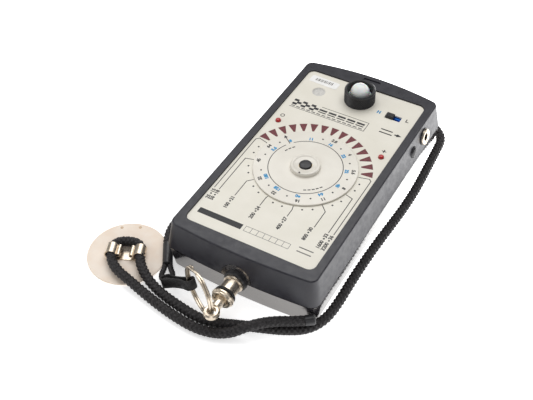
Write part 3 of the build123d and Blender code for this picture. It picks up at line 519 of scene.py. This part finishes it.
def print_heading(black, grey):
    """Plain blocks where the heading's words were, partly framed."""
    for i in range(3):
        x = -29.4 + 5.2 * i
        black.bar(mm(x, 38.4), mm(2.7, 1.7))
        black.bar(mm(x + 2.2, 36.8), mm(2.7, 1.7))
        black.bar(mm(x, 35.3), mm(2.7, 1.6))
    for i in range(5):
        x = -12.6 + 5.6 * i
        black.bar(mm(x, 37.1), mm(4.6, 1.3))
        black.bar(mm(x, 35.3), mm(4.6, 0.7))
    black.line([mm(-14.4, 39.5), mm(13.5, 39.5), mm(13.5, 32.4), mm(-31, 32.4)], 0.3 * MM)
    for i in range(14):
        grey.bar(mm(-29.3 + 3.1 * i, 33.5), mm(2.2, 0.7))


def print_band(black, grey):
    """Plain blocks along the front edge: a solid half, an outlined half and two strokes."""
    middle = -57.0
    black.bar(mm(-19.8, middle), mm(24.4, 3.4))
    for y in (-55.4, -58.6):
        grey.bar(mm(6.2, y), mm(24.4, 0.22))
    for i in range(8):
        grey.bar(mm(-5.9 + 3.46 * i, middle), mm(0.22, 3.2))
    for y in (-54.9, -57.5):
        grey.bar(mm(26.2, y), mm(7.6, 0.6))


def print_panel(materials):
    """Everything printed on the panel, in three inks."""
    black, grey, blue = Print(PANEL_TOP), Print(PANEL_TOP), Print(PANEL_TOP)
    print_speed_scale(black)
    print_marks(black, blue)
    print_heading(black, grey)
    print_band(black, grey)
    black.finish("panel_print_black", "meter", materials["ink_black"], "panel_cream")
    grey.finish("panel_print_grey", "meter", materials["ink_grey"], "panel_cream")
    blue.finish("panel_print_blue", "meter", materials["ink_blue"], "panel_cream")


def print_label(materials):
    """Plain bars of different widths on the label, which lies slightly askew."""
    code = Print(LABEL_HIGH.z)
    gap = 0.48
    tilt = math.radians(-2.3)
    x = -5.4
    for width in (0.5, 0.25, 0.7, 0.3, 0.5, 0.25, 0.6, 0.35, 0.25, 0.6, 0.3, 0.5):
        centre = (LABEL_CENTRE.x + (x + width / 2) * MM, LABEL_CENTRE.y + 0.35 * MM)
        code.bar(centre, mm(width, 2.2), tilt)
        x += width + gap
    code.finish("label_bars", "meter", materials["ink_grey"], "label_paper")


def print_dial(materials):
    """Aperture numbers, dots, the inner circle and the pointer; they turn with the disc."""
    black = Print(DIAL_TOP)
    blue = Print(DIAL_TOP)
    outer = [("64", 169), ("45", -163), ("32", -131.5), ("22", -102), ("16", -71), ("11", -41), ("8", -11),
             ("5.6", 19), ("4", 49.6), ("2.8", 80)]
    inner = [("5.6", 169), ("8", 140), ("11", 110), ("16", 80), ("22", 50), ("32", 19), ("45", -12),
             ("64", -41), ("90", -72), ("128", -103.6), ("180", -132)]
    for words, angle in outer:
        black.digits(words, polar(OUTER_NUMBERS, angle), DIAL_DIGITS, math.radians(angle - 90), 0.12 * MM)
    for words, angle in inner:
        blue.digits(words, polar(INNER_NUMBERS, angle), DIAL_DIGITS, math.radians(angle - 90), 0.15 * MM)
    for i in range(12):
        if i != NO_DOT:
            black.dot(polar(SINGLE_DOTS, 4.4 + 30 * i), 0.48 * MM)
    centre = (DIAL_CENTRE.x, DIAL_CENTRE.y)
    black.arc(centre, 19.1 * MM, 0.38 * MM, 150, 497, 4)
    black.line([polar(19.4, 143), polar(24.4, 143)], 0.4 * MM)
    black.polygon([polar(24.2, 140.6), polar(26.2, 143), polar(24.2, 145.4)])
    # a row of short strokes by the circle, in place of words
    for i in range(5):
        black.bar(polar(16.6, -63 + 7.2 * i), mm(1.5, 0.6), math.radians(-63 + 7.2 * i + 90))
    for i in range(3):
        black.bar(polar(15.8, 141 + 8 * i), mm(1.6, 0.6), math.radians(141 + 8 * i + 90))
    black.finish("dial_print_black", "dial", materials["ink_black"], "dial_cream")
    blue.finish("dial_print_blue", "dial", materials["ink_blue"], "dial_cream")
    index = Print(HUB_TOP)
    index.dot(polar(7.0, -88), 0.45 * MM)
    index.finish("hub_index", "dial", materials["ink_black"], "dial_cream")


# ---------------------------------------------------------------- the neck cord
SLEEVE_NEAR = Vector((-39.7, -77.3, 2.75))
SLEEVE_ALONG = Vector((-0.53, 0.84, 0.11)).normalized()
SLEEVE_LENGTH = 13.0
SLEEVE_FAR = SLEEVE_NEAR + SLEEVE_ALONG * SLEEVE_LENGTH
CORD_RADIUS = 2.55
REST = 2.6                       # of the cord's middle where it lies on the table
ROLL_HEIGHT = 4.1
NECK_ROUTE = [
    tuple(SLEEVE_FAR), (-51.8, -58.2, 3.4), (-51.2, -45, REST), (-48.2, -27, REST), (-47.9, -7, REST),
    (-49.0, 13, REST), (-48.4, 33, REST), (-48.1, 51, REST), (-47.2, 66, REST), (-41.4, 78.8, REST),
    (-28, 85.0, REST), (-11, 86.8, REST), (8, 85.9, REST), (24.0, 84.9, REST), (36.2, 81.9, REST),
    (44.0, 74.6, REST), (45.0, 62, REST), (46.2, 45, REST), (47.2, 28, REST), (46.9, 10, REST),
    (45.7, -8, REST), (44.9, -26, REST), (44.8, -43, REST), (45.2, -57.5, REST), (44.3, -69.6, REST),
    (39.3, -78.5, REST), (30.2, -84.0, REST), (19.8, -88.1, REST), (9.8, -91.7, REST), (1, -95.6, REST),
    (-8, -97.4, REST), (-19, -96.1, REST), (-29.5, -94.3, REST), (-38.5, -91.9, 3.2), (-46.0, -88.2, 4.2),
    (-52.9, -82.7, 4.3), (-58.48, -72.08, ROLL_HEIGHT), (-71.68, -77.84, ROLL_HEIGHT), (-66.8, -88.2, 4.3),
    (-59.6, -93.0, 4.2), (-49.9, -95.4, 4.1), (-40.2, -97.6, 3.0), (-30, -99.9, REST), (-18, -102.1, REST),
    (-6.5, -103.0, REST), (3.4, -101.2, 2.8), (10.5, -97.6, 4.0), (16.2, -94.0, 8.2), (22.0, -88.3, 8.4),
    (27.6, -83.9, 7.9), (33.2, -80.9, 7.75), (38.0, -77.7, 7.75),
]
EYE_RADIUS = 1.4
EYE_ACROSS = (0.846, 0.534)      # level and square to the sleeve
STRANDS = 5                      # of the braid, each way round
TAB_RING_ANGLE = 209             # where the tab's loop sits on the split ring
TAB_CORD_END = Vector((-33.6, -86.6, 3.6))


def nurbs_line(points):
    """The smooth line of an open NURBS spline with these control points, in metres."""
    curve = bpy.data.curves.new("route", "CURVE")
    curve.dimensions = "3D"
    curve.resolution_u = 12
    spline = curve.splines.new("NURBS")
    spline.points.add(len(points) - 1)
    for point, place in zip(spline.points, points):
        point.co = (*mm(*place), 1.0)
    spline.order_u = 3
    spline.use_endpoint_u = True
    holder = bpy.data.objects.new("route", curve)
    bpy.context.collection.objects.link(holder)
    line = bpy.data.meshes.new_from_object(holder.evaluated_get(bpy.context.evaluated_depsgraph_get()))
    places = [v.co.copy() for v in line.vertices]
    bpy.data.objects.remove(holder)
    bpy.data.curves.remove(curve)
    bpy.data.meshes.remove(line)
    return places


def even_steps(line, step):
    """Points at even distances along a line."""
    lengths = [0.0]
    for a, b in zip(line, line[1:]):
        lengths.append(lengths[-1] + (b - a).length)
    count = max(2, round(lengths[-1] / step))
    places = []
    segment = 0
    for i in range(count + 1):
        wanted = lengths[-1] * i / count
        while segment < len(line) - 2 and lengths[segment + 1] < wanted:
            segment += 1
        span = max(lengths[segment + 1] - lengths[segment], 1e-9)
        places.append(line[segment].lerp(line[segment + 1], (wanted - lengths[segment]) / span))
    return places, lengths[-1]


def braid_height(turn, along, pitch):
    """How far the braid's skin stands out, 0 to 1, at a share of a turn and a distance along."""
    right = STRANDS * (turn + along / pitch)
    left = STRANDS * (turn - along / pitch)
    over_right = (math.floor(right) + math.floor(left)) % 2 == 0
    across = right if over_right else left
    lengthwise = left if over_right else right
    round_across = math.sqrt(max(0.0, 1 - (2 * (across % 1.0) - 1) ** 2))
    round_along = 1 - 0.55 * (2 * (lengthwise % 1.0) - 1) ** 2
    return round_across * round_along


def mesh_piece(name, vertices, faces, material):
    """A smooth-shaded piece from vertices and faces."""
    mesh = bpy.data.meshes.new(name)
    mesh.from_pydata([tuple(v) for v in vertices], [], faces)
    mesh.materials.append(material)
    mesh.polygons.foreach_set("use_smooth", [True] * len(mesh.polygons))
    piece = bpy.data.objects.new(name, mesh)
    bpy.context.collection.objects.link(piece)
    return piece


def tube_faces(steps, around):
    """Faces of a tube closed at both ends; its vertices are steps + 1 rings of around points each."""
    faces = []
    for i in range(steps):
        low, high = i * around, (i + 1) * around
        for k in range(around):
            after = (k + 1) % around
            faces.append((low + k, low + after, high + after, high + k))
    faces.append(tuple(reversed(range(around))))
    faces.append(tuple(range(steps * around, (steps + 1) * around)))
    return faces


def braided_tube(name, line, radius, material, pitch=12 * MM, step=0.36 * MM, around=40, relief=0.3):
    """A cord whose skin is modelled as crossing strands, swept along a line without twist."""
    places, length = even_steps(line, step)
    vertices = []
    side = UP
    for i, place in enumerate(places):
        ahead = places[min(i + 1, len(places) - 1)] - places[max(i - 1, 0)]
        ahead.normalize()
        side = (side - ahead * side.dot(ahead)).normalized()
        other = ahead.cross(side)
        along = length * i / (len(places) - 1)
        for k in range(around):
            turn = k / around
            reach = radius * (1 - relief + relief * braid_height(turn, along, pitch) * 1.15)
            angle = 2 * math.pi * turn
            vertices.append(place + reach * (math.cos(angle) * side + math.sin(angle) * other))
    return mesh_piece(name, vertices, tube_faces(len(places) - 1, around), material)


def make_cord(materials):
    """The braided neck cord, its eye and the folded tab; the tip, disc, clip and sleeve go with it."""
    line = nurbs_line(NECK_ROUTE)
    cord = braided_tube("braided_neck_cord", line, CORD_RADIUS * MM, materials["cord_black"])
    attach(cord, "meter")
    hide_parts("neck_cord")

    def eye_point(reach, offset):
        """A point in millimetres, at a reach beyond the sleeve's near end and an offset to one side."""
        return (
            SLEEVE_NEAR.x - SLEEVE_ALONG.x * reach + EYE_ACROSS[0] * offset,
            SLEEVE_NEAR.y - SLEEVE_ALONG.y * reach + EYE_ACROSS[1] * offset,
            SLEEVE_NEAR.z,
        )

    eye_route = [
        eye_point(0, -1.3), eye_point(3.0, -1.6), eye_point(5.8, -2.9), eye_point(9.6, -2.5),
        eye_point(9.6, 2.5), eye_point(5.8, 2.9), eye_point(3.0, 1.6), eye_point(0, 1.3),
    ]
    eye = braided_tube("braided_eye", nurbs_line(eye_route), EYE_RADIUS * MM, materials["cord_black"],
                       pitch=7 * MM, step=0.25 * MM, around=30, relief=0.26)
    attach(eye, "meter")
    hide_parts("eye_cord")
    tab = make_tab(materials)


def mark_disc(materials):
    """Two faint tan spots near the disc's edge."""
    marks = Print(DISC_HIGH.z)
    middle = (DISC_LOW + DISC_HIGH) / 2
    reach = 17.9 * MM
    for bearing in (135, 104):
        turn = math.radians(bearing)
        place = (middle.x + reach * math.cos(turn), middle.y + reach * math.sin(turn))
        marks.dot(place, 0.85 * MM, 18)
    marks.finish("disc_spots", "meter", materials["disc_tan"], "disc_cream")


def make_tab(materials):
    """A strap folded round the split ring and round the cord's eye, stitched between them."""
    angle = math.radians(TAB_RING_ANGLE)
    outward = RING_SIDE * math.cos(angle) + UP * math.sin(angle)
    start = RING_CENTRE + outward * RING_RADIUS
    end = TAB_CORD_END * MM
    along = (end - start).normalized()
    length = (end - start).length
    wire = RING_SIDE * math.sin(angle) - UP * math.cos(angle)
    up = (wire - along * wire.dot(along)).normalized()
    across = up.cross(along)
    half_width = 2.6 * MM
    edge = 0.35 * MM
    strap = 0.85 * MM

    # the strap's outside as distances from the tab's middle line: a loop at each end, a waist between
    outline = []
    waist = 1.55 * MM
    loop = 3.0 * MM
    for centre, first in ((0.0, 90), (length, -90)):
        for k in range(13):
            turn = math.radians(first + 15 * k)
            outline.append((centre + loop * math.cos(turn), loop * math.sin(turn)))
        sign = -1 if centre == 0.0 else 1
        for share in (0.26, 0.38, 0.5, 0.62, 0.74):
            place = share if sign < 0 else 1 - share
            pinch = waist + (loop - waist) * (2 * abs(place - 0.5)) ** 3 * 1.6
            outline.append((length * place, sign * pinch))
    count = len(outline)
    middle = [(min(max(x, 0.0), length), 0.0) for x, y in outline]

    def ring_of(inset, height):
        """The outline, moved inwards by an inset and up by a height."""
        places = []
        for (x, y), (mx, my) in zip(outline, middle):
            reach = Vector((x - mx, y - my))
            scale = max(reach.length - inset, 0.1 * MM) / reach.length
            flat = Vector((mx, my)) + reach * scale
            places.append(start + along * flat.x + across * flat.y + up * height)
        return places

    # section through the strap: out at mid width, rounded at both edges, in again on the inside
    section = [
        (edge, half_width), (edge * 0.3, half_width - edge * 0.3), (0.0, half_width - edge),
        (0.05 * MM, 0.0), (0.0, edge - half_width), (edge * 0.3, edge * 0.3 - half_width),
        (edge, -half_width), (strap - edge * 0.5, -half_width), (strap, edge - half_width),
        (strap, half_width - edge), (strap - edge * 0.5, half_width),
    ]
    vertices = []
    for inset, height in section:
        vertices += ring_of(inset, height)
    faces = []
    for j in range(len(section)):
        after_j = (j + 1) % len(section)
        for i in range(count):
            after = (i + 1) % count
            faces.append((j * count + i, after_j * count + i, after_j * count + after, j * count + after))
    # stitches on both faces of the waist, in two rows: each a small block, partly sunk in the strap
    first_stitch, stitch_gap = 0.36, 0.07
    block = ((0, 2, 4, 6), (7, 5, 3, 1), (0, 1, 3, 2), (2, 3, 5, 4), (4, 5, 7, 6), (6, 7, 1, 0))
    for side in (-1, 1):
        for stitch in range(5):
            for row in (-1.1, 1.1):
                share = first_stitch + stitch_gap * stitch
                centre = start + along * length * share + across * side * (waist + 0.02 * MM)
                first = len(vertices)
                for dx, dz in ((-0.42, -0.11), (0.42, -0.11), (0.42, 0.11), (-0.42, 0.11)):
                    edge_point = centre + along * dx * MM + up * (row + dz) * MM
                    vertices += [edge_point + across * side * depth * MM for depth in (-0.25, 0.12)]
                faces += [tuple(first + i for i in quad) for quad in block]
    tab = mesh_piece("folded_tab", vertices, faces, materials["strap_black"])
    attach(tab, "meter")
    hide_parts("cord_tab")
    return tab


# ---------------------------------------------------------------- the split ring
def make_split_ring(materials):
    """A flat wire wound nearly twice, which steps from one layer to the next."""
    wire = mm(1.5, 1.12)
    turns = 1.93
    first = math.radians(118)
    step_from, step_over = 0.86, 0.14    # in turns: where the step begins and how long it is
    layer_gap = 1.18 * MM
    steps = 220
    section = []
    corner = 0.4 * MM
    for cx, cy, start in ((1, 1, 0), (-1, 1, 90), (-1, -1, 180), (1, -1, 270)):
        for k in range(4):
            angle = math.radians(start + 30 * k)
            section.append((cx * (wire[0] / 2 - corner) + corner * math.cos(angle),
                            cy * (wire[1] / 2 - corner) + corner * math.sin(angle)))
    vertices = []
    for i in range(steps + 1):
        share = turns * i / steps
        step_up = min(1.0, max(0.0, (share - step_from) / step_over))
        layer = (step_up * step_up * (3 - 2 * step_up) - 0.5) * layer_gap
        angle = first + 2 * math.pi * share
        outward = math.cos(angle) * RING_SIDE + math.sin(angle) * UP
        shrink = min(1.0, 0.55 + 0.45 * min(i, steps - i) / 3)
        for a, b in section:
            radial = outward * (RING_RADIUS + a * shrink)
            vertices.append(RING_CENTRE + radial + RING_NORMAL * (layer + b * shrink))
    # known fault: these faces point inwards, as the section runs the other way round than a cord's
    ring = mesh_piece("split_ring_wire", vertices, tube_faces(steps, len(section)), materials["nickel"])
    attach(ring, "ring")
    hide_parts("split_ring")


def make_reset_spring(materials):
    """The reset button's coil spring, at one fixed length; nothing here shortens it as the button goes down.
    """
    low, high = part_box("reset_spring")
    wire = 0.15 * MM
    middle = (low + high) / 2
    reach = (high.x - low.x) / 2 - wire
    turns, steps, around = 2.5, 120, 10
    rise = high.z - low.z - 2 * wire
    vertices = []
    for i in range(steps + 1):
        angle = 2 * math.pi * turns * i / steps
        outward = Vector((math.cos(angle), math.sin(angle), 0))
        centre = Vector((middle.x, middle.y, low.z + wire + rise * i / steps)) + outward * reach
        for k in range(around):
            turn = 2 * math.pi * k / around
            vertices.append(centre + (outward * math.cos(turn) + UP * math.sin(turn)) * wire)
    # the rings of points run the other way round than a cord's, and so do these faces
    faces = []
    for i in range(steps):
        for k in range(around):
            after = (k + 1) % around
            faces.append((i * around + k, (i + 1) * around + k, (i + 1) * around + after, i * around + after))
    faces.append(tuple(range(around)))
    faces.append(tuple(reversed(range(steps * around, (steps + 1) * around))))
    spring = mesh_piece("reset_coil", vertices, faces, materials["screw_steel"])
    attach(spring, "meter")
    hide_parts("reset_spring")
    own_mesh(spring)


set_camera()
set_stage()
make_floor()
MATERIALS = make_materials()
dress_nodes(MATERIALS)
make_cord(MATERIALS)
mark_disc(MATERIALS)
make_split_ring(MATERIALS)
make_reset_spring(MATERIALS)
print_panel(MATERIALS)
print_label(MATERIALS)
print_dial(MATERIALS)
